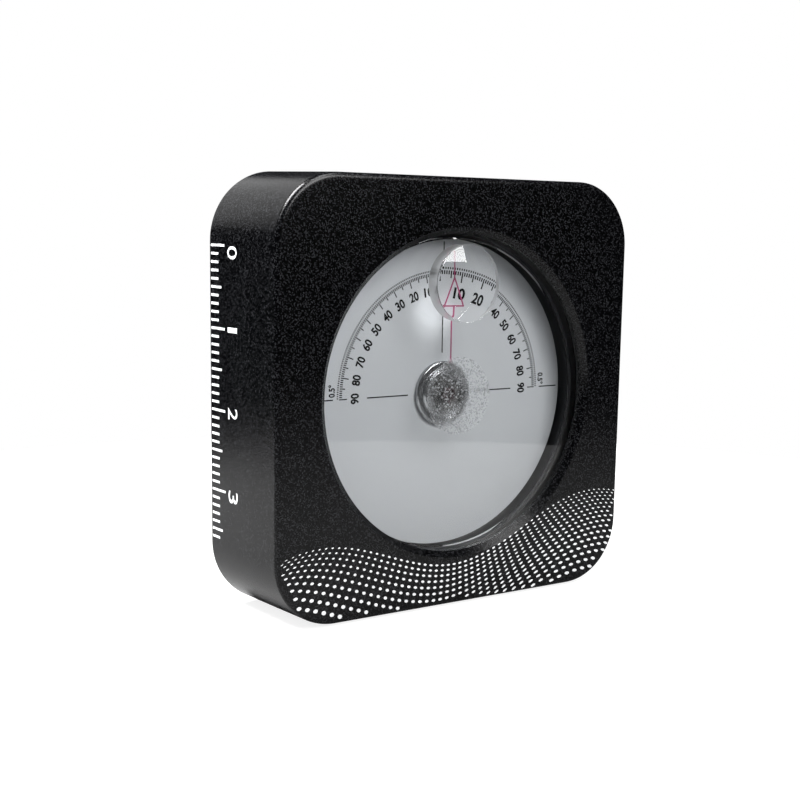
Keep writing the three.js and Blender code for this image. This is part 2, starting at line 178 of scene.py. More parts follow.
# Prints. A length that is a pair goes from an inner to an outer radius.
INK = 0.012
RULER_TICKS = 37
RULER_TOP = 18.161
RULER_PITCH = 1.0
RULER_START = 15.55
TICK_WIDTH = 0.30
TICK_REACH, FIVE_REACH, TEN_REACH = 1.85, 2.55, 3.35
RULER_FIGURE_DEPTH = 10.3
RULER_FIGURE_HEIGHT = 2.25
RULER_FIGURE_WIDTHS = (1.5, 0.62, 1.4, 1.5)
RULER_FIGURE_DROPS = (0.83, 0.0, 0.12, 0.37)

SCALE_OUTER = 15.38
SCALE_INNER, FIVE_INNER, TEN_INNER = 14.98, 14.6, 14.25
SCALE_WIDTH = 0.135
DASH = (15.52, 15.74)
DASH_WIDTH = 0.13
AXIS_LINES = ((5.2, 11.35), (16.27, 19.26))
AXIS_LINE_WIDTH = 0.16
FIGURE_RADIUS = 13.12
FIGURE_SIZE = (1.33, 1.2)
FIGURE_BOLD = 0.032
UNIT_RADIUS = 16.47
UNIT_RISE = 1.1
UNIT_SIZE = (1.55, 0.92)
UNIT_BOLD = 0.03

INDEX_STEM = (4.2, 11.6)
INDEX_APEX = 14.79
INDEX_TIP = 18.8
INDEX_HALF = 1.26
STEM_WIDTH, SIDE_WIDTH, TIP_WIDTH = 0.2, 0.17, 0.15

# The dot pattern: a sheet of rows and columns with a slow wave, seen in perspective
DOT_PITCH = 0.91
DOT_ROWS = 19
DOT_COLUMNS = 34
DOT_CORNERS = 14
DOT_TOP = 5.2
DOT_LEFT = 1.0
DOT_FALL = 24.0
DOT_NEARER = 0.0225
DOT_MARGIN = 0.55
DOT_WIDE, DOT_WIDENS = 0.15, 0.12
DOT_TALL, DOT_HEIGHTENS = 0.16, 0.05
DOT_FULL_ROW = 10
WAVE_HEIGHT = 2.9
WAVE_LENGTH = 43.0
WAVE_SHIFT = 0.03
WAVE_SHIFT_GROWTH = 0.003
WAVE_START = 4.6
SHEET_TILT = 0.07

# Table top, in metres, and how bright it looks to the camera
FLOOR_RADIUS = 0.137
FLOOR_GLOW = 0.85

# How finely round forms are divided, and where an edge counts as sharp
ROUND_STEPS = 160
CORNER_STEPS = 24
SMALL_STEPS = 48
FLOOR_STEPS = 96
EDGE_STEPS = 3
FRONT_ROUND_STEPS = 6
SHARP = math.radians(28)

# How near two points are to be one, how near a face lies to a size, and how far a cutter reaches out
MERGE = 0.001
FLUSH = 0.01
NEAR = 0.1
BEYOND = 1.0

# Turns a flat shape to face the front
TO_FRONT = (math.pi / 2, 0, 0)

# The share of the grains that are picked out: painted bright in the black coat as painted glints, and
# scattering in the frosted plastic
GLINT_AND_SCATTER_SHARE = 0.38


def at(x, depth, z):
    """A place in the frame, in metres."""
    return Vector((x * MM, FRONT + depth * MM, MIDDLE + z * MM))


def from_axis(place, z=CAPSULE_Z):
    """How far a place lies from an axis along Y at the height z, in millimetres."""
    return math.hypot(place.x, place.z - at(0, 0, z).z) / MM


def at_depth(depth):
    """A test for places at this depth."""
    y = at(0, depth, 0).y
    return lambda place: abs(place.y - y) < FLUSH * MM


def is_flat(place, normal):
    """Whether a face lies square to the axis."""
    return abs(normal.y) > 0.999


def is_side(normal):
    """Whether a face runs along the axis, as the side of a cylinder does."""
    return abs(normal.y) < 0.1


def clear_selection():
    if bpy.context.object and bpy.context.object.mode != "OBJECT":
        bpy.ops.object.mode_set(mode="OBJECT")
    bpy.ops.object.select_all(action="DESELECT")


def pick(*pieces):
    """Selects these pieces, with the first one active."""
    clear_selection()
    for piece in pieces:
        piece.select_set(True)
    bpy.context.view_layer.objects.active = pieces[0]


def edit(piece):
    pick(piece)
    bpy.ops.object.mode_set(mode="EDIT")


def leave_edit():
    bpy.ops.object.mode_set(mode="OBJECT")


def select_faces(piece, wanted):
    """In edit mode, selects the faces whose middle and normal are wanted."""
    bpy.ops.mesh.select_mode(type="FACE")
    bpy.ops.mesh.select_all(action="DESELECT")
    mesh = bmesh.from_edit_mesh(piece.data)
    for face in mesh.faces:
        if wanted(face.calc_center_median(), face.normal):
            face.select_set(True)
    bmesh.update_edit_mesh(piece.data)


def select_edges(piece, wanted):
    """In edit mode, selects the edges of which both ends are wanted."""
    bpy.ops.mesh.select_mode(type="EDGE")
    bpy.ops.mesh.select_all(action="DESELECT")
    mesh = bmesh.from_edit_mesh(piece.data)
    for edge in mesh.edges:
        if all(wanted(vertex.co) for vertex in edge.verts):
            edge.select_set(True)
    bmesh.update_edit_mesh(piece.data)


def paint(piece, material, wanted):
    """In edit mode, gives one of the piece's materials to the faces whose middle and normal are wanted."""
    select_faces(piece, wanted)
    piece.active_material_index = piece.data.materials.find(material.name)
    bpy.ops.object.material_slot_assign()


def named(name):
    """Names the piece that was just added, and puts its place in its mesh."""
    piece = bpy.context.object
    piece.name = name
    bpy.ops.object.transform_apply(location=True, rotation=True, scale=True)
    return piece


def turned(name, profile, steps=ROUND_STEPS, z=0.0):
    """Turns a profile of (radius, depth) points about an axis at the height z.

    A circle is extruded from point to point. A profile that comes back to its first point makes a ring.
    """
    clear_selection()
    radius, depth = profile[0]
    is_ring = profile[0] == profile[-1]
    bpy.ops.mesh.primitive_circle_add(
        vertices=steps, radius=radius * MM, fill_type="NOTHING" if is_ring else "NGON",
        location=at(0, depth, z), rotation=TO_FRONT)
    piece = named(name)
    edit(piece)
    bpy.ops.mesh.select_mode(type="EDGE" if is_ring else "FACE")
    bpy.ops.mesh.select_all(action="SELECT")
    extrude = bpy.ops.mesh.extrude_edges_move if is_ring else bpy.ops.mesh.extrude_region_move
    for next_radius, next_depth in profile[1:]:
        extrude(TRANSFORM_OT_translate={"value": (0, (next_depth - depth) * MM, 0)})
        share = next_radius / radius
        bpy.ops.transform.resize(value=(share, 1, share), center_override=at(0, next_depth, z))
        radius, depth = next_radius, next_depth
    bpy.ops.mesh.select_all(action="SELECT")
    bpy.ops.mesh.remove_doubles(threshold=MERGE * MM)
    bpy.ops.mesh.normals_make_consistent(inside=False)
    leave_edit()
    return piece


def rounded_square(name, half, radius, depth):
    """The outline of a square with rounded corners, at a depth."""
    clear_selection()
    bpy.ops.mesh.primitive_plane_add(size=2 * half * MM, location=at(0, depth, 0), rotation=TO_FRONT)
    piece = named(name)
    edit(piece)
    bpy.ops.mesh.select_all(action="SELECT")
    bpy.ops.mesh.bevel(offset=radius * MM, segments=CORNER_STEPS, affect="VERTICES")
    bpy.ops.mesh.select_all(action="SELECT")
    bpy.ops.mesh.delete(type="ONLY_FACE")
    leave_edit()
    return piece


def rounded_block(name, front, rear):
    """A closed block between two rounded squares, each given as (half, radius, depth)."""
    piece = rounded_square(name, *front)
    pick(piece, rounded_square("rear_outline", *rear))
    bpy.ops.object.join()
    edit(piece)
    bpy.ops.mesh.select_mode(type="EDGE")
    bpy.ops.mesh.select_all(action="SELECT")
    bpy.ops.mesh.bridge_edge_loops()
    bpy.ops.mesh.select_all(action="SELECT")
    bpy.ops.mesh.fill_holes(sides=0)
    bpy.ops.mesh.select_all(action="SELECT")
    bpy.ops.mesh.normals_make_consistent(inside=False)
    leave_edit()
    return piece


def moved(piece, x, z):
    """The piece, shifted by x and z."""
    piece.data.transform(Matrix.Translation((x * MM, 0, z * MM)))
    return piece


def apply_modifier(piece, kind, **values):
    pick(piece)
    modifier = piece.modifiers.new(kind.lower(), kind)
    for name, value in values.items():
        setattr(modifier, name, value)
    bpy.ops.object.modifier_apply(modifier=modifier.name)


def cut(piece, *tools):
    """Cuts these tools out of the piece."""
    for tool in tools:
        apply_modifier(piece, "BOOLEAN", object=tool, operation="DIFFERENCE", solver="EXACT")
        bpy.data.objects.remove(tool)


def soften(piece, width):
    """Rounds the sharp edges."""
    apply_modifier(piece, "BEVEL", width=width * MM, segments=EDGE_STEPS,
                   limit_method="ANGLE", angle_limit=SHARP)


def smooth(piece):
    pick(piece)
    bpy.ops.object.shade_smooth_by_angle(angle=SHARP)
    apply_modifier(piece, "WEIGHTED_NORMAL", keep_sharp=True, weight=80)


def fit(piece, body, slot, material, *nodes):
    """Gives the finished piece its material, if it has none yet, and its body, and hides the frame nodes that
    it stands for. The slot is not used.
    """
    if not piece.data.materials:
        piece.data.materials.append(material)
    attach(piece, body)
    if nodes:
        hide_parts(*nodes)


def joined(name, pieces):
    pick(*pieces)
    bpy.ops.object.join()
    bpy.context.object.name = name
    return bpy.context.object


def stamped(name, shape, places):
    """Copies of a small shape, each with its own mesh, joined into one piece."""
    copies = []
    for place in places:
        mesh = shape.data.copy()
        mesh.transform(place)
        copy = bpy.data.objects.new(name, mesh)
        bpy.context.scene.collection.objects.link(copy)
        copies.append(copy)
    bpy.data.objects.remove(shape)
    return joined(name, copies)


# Materials

def colour(red, green, blue):
    return (red, green, blue, 1.0)


class Nodes:
    """A node tree, with short ways to add nodes to it."""

    def __init__(self, tree):
        self.tree = tree

    def give(self, socket, value):
        """Links a value that is an output socket, and sets any other."""
        if isinstance(value, bpy.types.NodeSocket):
            self.tree.links.new(value, socket)
        else:
            socket.default_value = value

    def add(self, kind, *values, **named_values):
        """A node of this kind. Its inputs get the values in order, or by the name of an input or property."""
        node = self.tree.nodes.new(kind)
        for name, value in named_values.items():
            socket = node.inputs.get(name.replace("_", " "))
            if socket is None:
                setattr(node, name, value)
            else:
                self.give(socket, value)
        for socket, value in zip(node.inputs, values):
            self.give(socket, value)
        return node

    def mixed(self, share, first, second):
        """The shader between two shaders."""
        return self.add("ShaderNodeMixShader", share, first, second).outputs[0]

    def bright_grains(self, cells):
        """A mask of single cells: painted glints in the black coat, scattering grains in the frosted plastic.
        """
        tone = self.add("ShaderNodeSeparateColor", Color=cells.outputs["Color"])
        mask = self.add("ShaderNodeMapRange", Value=tone.outputs["Red"], From_Min=1 - GLINT_AND_SCATTER_SHARE)
        return mask.outputs["Result"]


class Effect(Nodes):
    """A node group that several materials share, laid out round a place."""

    def __init__(self, name, **defaults):
        super().__init__(bpy.data.node_groups.new(name, "ShaderNodeTree"))
        self.socket("Place", "INPUT", "NodeSocketVector")
        for label, value in defaults.items():
            self.socket(label, "INPUT").default_value = value
        self.given = self.add("NodeGroupInput").outputs

    def socket(self, label, direction, kind="NodeSocketFloat"):
        return self.tree.interface.new_socket(
            name=label.replace("_", " "), in_out=direction, socket_type=kind)

    def finished(self, **results):
        """The node group, with these results as its outputs."""
        for label in results:
            self.socket(label, "OUTPUT")
        self.add("NodeGroupOutput", **results)
        return self.tree


def fine_grain():
    """Grain of a sprayed or blasted surface: a height, and a mask of single grains, which the black coat
    paints bright as painted glints.
    """
    group = Effect("fine_grain", Grain_Size=0.2 * MM)
    place = group.given["Place"]
    scale = group.add("ShaderNodeMath", 1.0, group.given["Grain Size"], operation="DIVIDE").outputs[0]
    noise = group.add("ShaderNodeTexNoise", Vector=place, Scale=scale, Detail=1.0, Roughness=0.5)
    cells = group.add("ShaderNodeTexVoronoi", Vector=place, Scale=scale)
    return group.finished(Height=noise.outputs["Fac"], Sparkle=group.bright_grains(cells))


def cloud():
    """Slow unevenness, as of handling and of an uneven finish, spread between two values."""
    group = Effect("cloud", Scale=80.0, Low=0.0, High=1.0)
    given = group.given
    noise = group.add("ShaderNodeTexNoise", Vector=given["Place"], Scale=given["Scale"], Detail=4.0)
    spread = group.add("ShaderNodeMapRange", Value=noise.outputs["Fac"], From_Min=0.3, From_Max=0.7,
                       To_Min=given["Low"], To_Max=given["High"])
    return group.finished(Value=spread.outputs["Result"])


def turning_marks():
    """Fine rings round the dial's axis, as a lathe tool leaves them."""
    group = Effect("turning_marks", Pitch=0.08 * MM)
    centred = group.add("ShaderNodeVectorMath", group.given["Place"], AXIS, operation="SUBTRACT")
    flat = group.add("ShaderNodeVectorMath", centred.outputs[0], (1, 0, 1), operation="MULTIPLY")
    radius = group.add("ShaderNodeVectorMath", flat.outputs[0], operation="LENGTH")
    rings = group.add("ShaderNodeMath", radius.outputs["Value"], group.given["Pitch"], operation="DIVIDE")
    noise = group.add("ShaderNodeTexNoise", noise_dimensions="1D", W=rings.outputs[0], Scale=1.0, Detail=2.0)
    return group.finished(Height=noise.outputs["Fac"])


FINE_GRAIN = fine_grain()
CLOUD = cloud()
TURNING_MARKS = turning_marks()


class Recipe(Nodes):
    """A material, with short ways to give it its looks."""

    def __init__(self, name, base, roughness, **sockets):
        self.material = bpy.data.materials.new(name)
        self.material.use_nodes = True
        super().__init__(self.material.node_tree)
        self.shader = self.tree.nodes["Principled BSDF"]
        self.look("Base Color", base)
        self.look("Roughness", roughness)
        for label, value in sockets.items():
            self.look(label.replace("_", " "), value)

    def look(self, label, value):
        self.give(self.shader.inputs[label], value)

    def place(self):
        return self.add("ShaderNodeTexCoord").outputs["Object"]

    def effect(self, group, **values):
        """The outputs of a shared effect."""
        return self.add("ShaderNodeGroup", node_tree=group, Place=self.place(), **values).outputs

    def colours(self, share, low, high):
        """Lets the colour lie between low and high."""
        mix = self.add("ShaderNodeMix", data_type="RGBA", Factor=share)
        for socket, value in zip([socket for socket in mix.inputs if socket.type == "RGBA"], (low, high)):
            self.give(socket, value)
        self.look("Base Color", next(socket for socket in mix.outputs if socket.type == "RGBA"))

    def gloss(self, scale, low, high):
        """Lets the roughness change slowly between low and high."""
        self.look("Roughness", self.effect(CLOUD, Scale=scale, Low=low, High=high)["Value"])

    def bump(self, height, strength, depth):
        bump = self.add("ShaderNodeBump", Strength=strength, Distance=depth * MM, Height=height)
        self.look("Normal", bump.outputs["Normal"])

    def grain(self, size, strength, depth):
        """Gives the surface a fine grain. Returns the mask of single grains that the black coat paints bright
        as painted glints.
        """
        grain = self.effect(FINE_GRAIN, Grain_Size=size * MM)
        self.bump(grain["Height"], strength, depth)
        return grain["Sparkle"]

    def shown_by(self, shader):
        """The material, with this shader in place of its own."""
        self.give(self.tree.nodes["Material Output"].inputs["Surface"], shader)
        return self.material


def black_coat():
    """Black coating over a blasted casting: a coarse sand grain, with single grains painted bright in the
    base colour as painted glints.
    """
    recipe = Recipe("black_coat", colour(0.003, 0.0032, 0.004), 0.25, Specular_IOR_Level=0.2)
    recipe.gloss(scale=60.0, low=0.15, high=0.19)
    painted_glints = recipe.grain(size=0.14, strength=1.0, depth=0.016)
    # Painted glints: single grains are made bright in the base colour, in place of light glinting on them.
    recipe.colours(painted_glints, colour(0.0004, 0.0004, 0.0006), colour(0.0195, 0.02, 0.022))
    return recipe.material


def dial_silver():
    """Satin silver-grey paint on the dial, with a very fine grain."""
    recipe = Recipe("dial_silver", colour(0.33, 0.342, 0.354), 0.6, Metallic=0.1)
    shade = recipe.effect(CLOUD, Scale=45.0, Low=0.0, High=1.0)
    recipe.colours(shade["Value"], colour(0.324, 0.336, 0.348), colour(0.336, 0.348, 0.36))
    recipe.grain(size=0.12, strength=0.08, depth=0.02)
    return recipe.material


def ink(name, base, roughness=0.5, specular=0.5):
    """Printed ink, a little uneven in tone."""
    recipe = Recipe(name, base, roughness, Specular_IOR_Level=specular)
    shade = recipe.effect(CLOUD, Scale=900.0, Low=0.9, High=1.05)
    tone = recipe.add("ShaderNodeVectorMath", base[:3], operation="SCALE", Scale=shade["Value"])
    recipe.look("Base Color", tone.outputs[0])
    recipe.grain(size=0.15, strength=0.15, depth=0.01)
    return recipe.material


def metal(name, base, roughness, pitch, strength):
    """Bare metal with the marks of turning and a slow change of gloss."""
    recipe = Recipe(name, base, roughness, Metallic=1.0)
    recipe.gloss(scale=300.0, low=roughness * 0.8, high=roughness * 1.3)
    recipe.bump(recipe.effect(TURNING_MARKS, Pitch=pitch * MM)["Height"], strength, depth=0.01)
    return recipe.material


def dull(name, base, roughness, grain, strength):
    """Plastic or rubber with a moulded grain."""
    recipe = Recipe(name, base, roughness)
    recipe.gloss(scale=120.0, low=roughness * 0.85, high=roughness * 1.1)
    recipe.grain(grain, strength, depth=0.02)
    return recipe.material


def clear_plastic(name, roughness, grain_strength):
    """A recipe and a shader for clear plastic.

    Light to and from the dial's paint passes straight through it, so the dial is lit as if bare.
    """
    recipe = Recipe(name, colour(0.97, 0.98, 0.985), roughness, Transmission_Weight=1.0, IOR=1.49)
    recipe.grain(FROST_GRAIN, grain_strength, depth=0.1)
    path = recipe.add("ShaderNodeLightPath").outputs
    straight = recipe.add(
        "ShaderNodeMath", path["Is Shadow Ray"], path["Is Diffuse Ray"], operation="MAXIMUM")
    passing = recipe.add("ShaderNodeBsdfTransparent")
    return recipe, recipe.mixed(straight.outputs[0], recipe.shader.outputs[0], passing.outputs[0])


def clear():
    """Polished clear plastic."""
    recipe, shader = clear_plastic("clear_plastic", 0.0, 0.0)
    return recipe.shown_by(shader)


def frosted():
    """Blasted clear plastic. Single grains scatter the light, and between them it stays clear."""
    recipe, shader = clear_plastic("frosted_plastic", 0.26, 0.3)
    cells = recipe.add("ShaderNodeTexVoronoi", Vector=recipe.place(), Scale=1 / (FROST_GRAIN * MM))
    scatter = recipe.add("ShaderNodeBsdfDiffuse", Color=colour(0.26, 0.27, 0.28))
    return recipe.shown_by(recipe.mixed(recipe.bright_grains(cells), shader, scatter.outputs[0]))


def lens_wall():
    """The magnifier's side, moulded matt. The part that isn't matt lets through what lies behind."""
    recipe = Recipe("lens_wall", colour(0.5, 0.51, 0.52), 0.3)
    recipe.grain(size=0.15, strength=0.2, depth=0.01)
    passing = recipe.add("ShaderNodeBsdfTransparent")
    return recipe.shown_by(recipe.mixed(0.6, recipe.shader.outputs[0], passing.outputs[0]))


def wetted():
    """Clear plastic in the capsule's fluid, which hides it nearly."""
    return Recipe("wetted_plastic", colour(0.5, 0.5, 0.5), 0.4, Alpha=0.04).material


COAT = black_coat()
SILVER = dial_silver()
WHITE_INK = ink("white_ink", colour(0.86, 0.87, 0.88))
BLACK_INK = ink("black_ink", colour(0.001, 0.001, 0.0012), roughness=0.8, specular=0.1)
RED_INK = ink("red_ink", colour(0.17, 0.008, 0.06), roughness=0.4)
CLEAR = clear()
FROST = frosted()
LENS_WALL = lens_wall()
WETTED = wetted()
EDGE_BLACK = dull("blackened_edge", colour(0.004, 0.004, 0.004), roughness=0.5, grain=0.15, strength=0.1)
STEEL = metal("polished_steel", colour(0.42, 0.425, 0.435), roughness=0.15, pitch=0.10, strength=0.25)
BRASS = metal("brass", colour(0.55, 0.38, 0.15), roughness=0.3, pitch=0.12, strength=0.3)
NICKEL = metal("nickel", colour(0.62, 0.62, 0.60), roughness=0.22, pitch=0.15, strength=0.2)
PLASTIC = dull("black_plastic", colour(0.012, 0.0125, 0.014), roughness=0.35, grain=0.12, strength=0.1)
RUBBER = dull("rubber", colour(0.015, 0.015, 0.015), roughness=0.75, grain=0.2, strength=0.4)
JEWEL = dull("jewel", colour(0.012, 0.001, 0.003), roughness=0.08, grain=0.1, strength=0.02)


# Block, cover, screws and magnets

def screw_places():
    return [(x, z) for z in (-SCREW_OFFSET, SCREW_OFFSET) for x in (-SCREW_OFFSET, SCREW_OFFSET)]


def opening_cutter():
    """Everything that the stepped round opening takes out of the block."""
    return turned("opening_cutter", [
        (LIP_RADIUS + LIP_EDGE, -BEYOND), (LIP_RADIUS + LIP_EDGE, 0.0), (LIP_RADIUS, LIP_EDGE),
        (OPENING_RADIUS, LIP_DEPTH), (OPENING_RADIUS, RIM_THICKNESS), (BORE_RADIUS, RIM_THICKNESS),
        (BORE_RADIUS, COVER_SEAT + BEYOND)])


def block():
    """The cast block, a little wider at its rear, with the opening, the cover's recess and all holes."""
    rear_half = FRONT_HALF + DRAFT
    piece = rounded_block("block", (FRONT_HALF, CORNER_RADIUS, 0.0),
                          (rear_half, CORNER_RADIUS + DRAFT, BLOCK_DEPTH))
    edit(piece)
    select_edges(piece, at_depth(0))
    bpy.ops.mesh.bevel(offset=FRONT_ROUND * MM, segments=FRONT_ROUND_STEPS, profile=0.5, affect="EDGES")
    select_edges(piece, at_depth(BLOCK_DEPTH))
    bpy.ops.mesh.bevel(offset=REAR_ROUND * MM, segments=EDGE_STEPS, profile=0.5, affect="EDGES")
    select_faces(piece, is_flat)
    bpy.ops.mesh.inset(thickness=FACE_INSET * MM, use_individual=True)
    leave_edit()
    half, radius = rear_half - RIM_WALL, CORNER_RADIUS + DRAFT - RIM_WALL
    recess = rounded_block("recess", (half, radius, COVER_SEAT), (half, radius, BLOCK_DEPTH + BEYOND))
    cut(piece, opening_cutter(), recess)
    for x, z in screw_places():
        hole = turned("hole", [(SCREW_SHANK + SCREW_FIT, COVER_SEAT - SCREW_LENGTH),
                               (SCREW_SHANK + SCREW_FIT, COVER_SEAT + BEYOND)], SMALL_STEPS)
        cut(piece, moved(hole, x, z))
    for x, depth, low, high in magnet_places():
        cut(piece, upright("pocket", MAGNET_POCKET, low - BEYOND, high + MAGNET_FIT, x, depth))
    smooth(piece)
    fit(piece, "case", "black_coat", COAT, "housing")


def magnet_places():
    """The middle of each base magnet, as the frame has it, with its lowest and highest point."""
    places = []
    for node in ("base_magnet_left", "base_magnet_right"):
        low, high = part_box(node)
        middle = (low + high) / 2
        places.append((middle.x / MM, (middle.y - FRONT) / MM,
                       (low.z - MIDDLE) / MM, (high.z - MIDDLE) / MM))
    return places


def upright(name, radius, low, high, x, depth):
    """A cylinder that stands upright in the base."""
    clear_selection()
    bpy.ops.mesh.primitive_cylinder_add(
        vertices=SMALL_STEPS, radius=radius * MM, depth=(high - low) * MM,
        location=at(x, depth, (low + high) / 2))
    return named(name)


def magnets():
    """Round magnets that stand in pockets of the base."""
    low_corner, high_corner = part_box("base_magnet_left")
    radius = (high_corner.x - low_corner.x) / 2 / MM
    for side, (x, depth, low, high) in zip(("left", "right"), magnet_places()):
        piece = upright("magnet_" + side, radius, low, high, x, depth)
        soften(piece, MAGNET_EDGE)
        smooth(piece)
        fit(piece, "case", "nickel", NICKEL, "base_magnet_" + side)


def cover():
    """The rear cover, with a countersunk hole in each corner."""
    half = FRONT_HALF + DRAFT - RIM_WALL - COVER_GAP
    radius = CORNER_RADIUS + DRAFT - RIM_WALL - COVER_GAP
    piece = rounded_block("cover", (half, radius, COVER_FRONT), (half, radius, COVER_BACK))
    for x, z in screw_places():
        wide, narrow = SCREW_HEAD + SCREW_FIT, SCREW_SHANK + SCREW_FIT
        hole = turned("countersink", [
            (narrow, COVER_FRONT - BEYOND), (narrow, SCREW_FACE - SCREW_HEAD_HEIGHT),
            (wide, SCREW_FACE - SCREW_HEAD_RIM), (wide, COVER_BACK + BEYOND)], SMALL_STEPS)
        cut(piece, moved(hole, x, z))
    soften(piece, COVER_EDGE)
    smooth(piece)
    fit(piece, "case", "black_coat", COAT, "back_cover")


def screws():
    """Countersunk screws with a cross slot."""
    for index, (x, z) in enumerate(screw_places(), start=1):
        piece = turned("screw_" + str(index), [
            (SCREW_SHANK, SCREW_FACE - SCREW_LENGTH), (SCREW_SHANK, SCREW_FACE - SCREW_HEAD_HEIGHT),
            (SCREW_HEAD, SCREW_FACE - SCREW_HEAD_RIM), (SCREW_HEAD, SCREW_FACE)], SMALL_STEPS)
        for width, height in ((CROSS_LENGTH, CROSS_WIDTH), (CROSS_WIDTH, CROSS_LENGTH)):
            clear_selection()
            bpy.ops.mesh.primitive_cube_add(size=1.0, location=at(0, SCREW_FACE, 0),
                                            scale=(width * MM, 2 * CROSS_DEPTH * MM, height * MM))
            cut(piece, named("slot"))
        soften(piece, SCREW_EDGE)
        moved(piece, x, z)
        smooth(piece)
        fit(piece, "case", "nickel", NICKEL, "cover_screw_" + str(index))


# Capsule

def cup():
    """The rear half of the capsule, with the seat of the rear jewel and the filler hole."""
    piece = turned("cup", [
        (SOCKET_RADIUS, REAR_SOCKET), (SOCKET_RADIUS, REAR_BOSS_FRONT), (BOSS_RADIUS, REAR_BOSS_FRONT),
        (BOSS_RADIUS, CUP_FLOOR), (CUP_INNER, CUP_FLOOR), (CUP_INNER, CUP_RIM), (CUP_OUTER, CUP_RIM),
        (CUP_OUTER, CUP_BACK)], z=CAPSULE_Z)
    hole = turned("plug_hole", [
        (PLUG_STEM, CUP_FLOOR - BEYOND), (PLUG_STEM, CUP_BACK - PLUG_HEAD_DEPTH),
        (PLUG_HEAD, CUP_BACK - PLUG_HEAD_DEPTH), (PLUG_HEAD, CUP_BACK + BEYOND)], SMALL_STEPS)
    cut(piece, moved(hole, 0, CAPSULE_Z + PLUG_Z))
    soften(piece, CUP_EDGE)
    smooth(piece)
    fit(piece, "case", "black_plastic", PLASTIC, "capsule_cup")


def lens():
    """The magnifier, a short clear cylinder with a domed front. It stands a little way into the crystal."""
    height = LENS_RIM - LENS_CROWN
    ball = (LENS_RADIUS ** 2 + height ** 2) / (2 * height)
    reach = math.asin(LENS_RADIUS / ball)
    angles = [reach * step / DOME_STEPS for step in range(DOME_STEPS, 0, -1)]
    dome = [(ball * math.sin(angle), LENS_CROWN + ball * (1 - math.cos(angle))) for angle in angles]
    piece = turned("lens", [(LENS_RADIUS, LENS_BASE)] + dome + [(LENS_TIP, LENS_CROWN)], z=LENS_Z)
    soften(piece, LENS_EDGE)
    return piece


def crystal():
    """The thick window with the magnifier bonded on.

    Its edge is blackened, the seat of the jewel on its back is wetted, and its front has a frosted spot, a
    little to the right of the middle.
    """
    piece = turned("crystal", [
        (FROST_RADIUS, CRYSTAL_FRONT), (CRYSTAL_RADIUS - CRYSTAL_EDGE, CRYSTAL_FRONT),
        (CRYSTAL_RADIUS, CRYSTAL_FRONT + CRYSTAL_EDGE), (CRYSTAL_RADIUS, CRYSTAL_BACK),
        (GROOVE_RADIUS, CRYSTAL_BACK), (GROOVE_RADIUS, CRYSTAL_BACK - GROOVE_WIDTH),
        (GROOVE_RADIUS - GROOVE_WIDTH, CRYSTAL_BACK), (BOSS_RADIUS, CRYSTAL_BACK), (BOSS_RADIUS, BOSS_BACK),
        (SOCKET_RADIUS, BOSS_BACK), (SOCKET_RADIUS, SOCKET_FRONT)], z=CAPSULE_Z)
    magnifier = lens()
    apply_modifier(piece, "BOOLEAN", object=magnifier, operation="UNION", solver="EXACT")
    bpy.data.objects.remove(magnifier)
    for material in (CLEAR, FROST, EDGE_BLACK, LENS_WALL, WETTED):
        piece.data.materials.append(material)

    def is_edge(place, normal):
        return is_side(normal) and from_axis(place) > CRYSTAL_RADIUS - NEAR

    def is_lens_wall(place, normal):
        return is_side(normal) and abs(from_axis(place, LENS_Z) - LENS_RADIUS) < NEAR

    def is_jewel_seat(place, normal):
        return place.y > at(0, CRYSTAL_BACK + NEAR, 0).y and from_axis(place) < BOSS_RADIUS + NEAR

    def is_frost(place, normal):
        return at_depth(CRYSTAL_FRONT)(place) and from_axis(place) < FROST_RADIUS / 2

    edit(piece)
    paint(piece, EDGE_BLACK, is_edge)
    paint(piece, LENS_WALL, is_lens_wall)
    paint(piece, WETTED, is_jewel_seat)
    paint(piece, FROST, is_frost)
    bpy.ops.transform.translate(value=(FROST_X * MM, 0, 0))
    leave_edit()
    smooth(piece)
    fit(piece, "case", "clear_plastic", CLEAR, "crystal", "magnifier_lens")


def dial():
    """A flat disc with a hole for the hub."""
    piece = turned("dial", [
        (DIAL_BORE, DIAL_FRONT), (DIAL_RADIUS, DIAL_FRONT), (DIAL_RADIUS, DIAL_BACK),
        (DIAL_BORE, DIAL_BACK), (DIAL_BORE, DIAL_FRONT)], z=CAPSULE_Z)
    soften(piece, DIAL_EDGE)
    smooth(piece)
    fit(piece, "dial", "dial_silver", SILVER, "dial_disc")


def hub():
    """Turned and polished: a stepped rim, a groove, a raised ring and a dark dished middle."""
    spigot = [(HUB_RADIUS, HUB_SEAT), (HUB_SPIGOT, HUB_SEAT), (HUB_SPIGOT, HUB_END), (HUB_BORE, HUB_END)]
    dish = (HUB_BORE, HUB_DISH)
    piece = turned("hub", [dish] + HUB_RING + HUB_GROOVE + HUB_STEP + spigot + [dish], z=CAPSULE_Z)
    soften(piece, HUB_EDGE)
    for material in (STEEL, EDGE_BLACK):
        piece.data.materials.append(material)
    edit(piece)
    # The dished middle inside HUB_DARK_RADIUS gets the near-black material instead of steel, so it looks
    # dark.
    paint(piece, EDGE_BLACK, lambda place, normal: from_axis(place) < HUB_DARK_RADIUS)
    leave_edit()
    smooth(piece)
    fit(piece, "dial", "polished_steel", STEEL, "dial_hub")


# Prints

def flat_bar():
    """A unit bar of ink: one wide along x, one long along z and one ink layer thick."""
    clear_selection()
    bpy.ops.mesh.primitive_cube_add(size=1.0, location=(0, 0, 0), scale=(MM, INK * MM, MM))
    return named("bar")


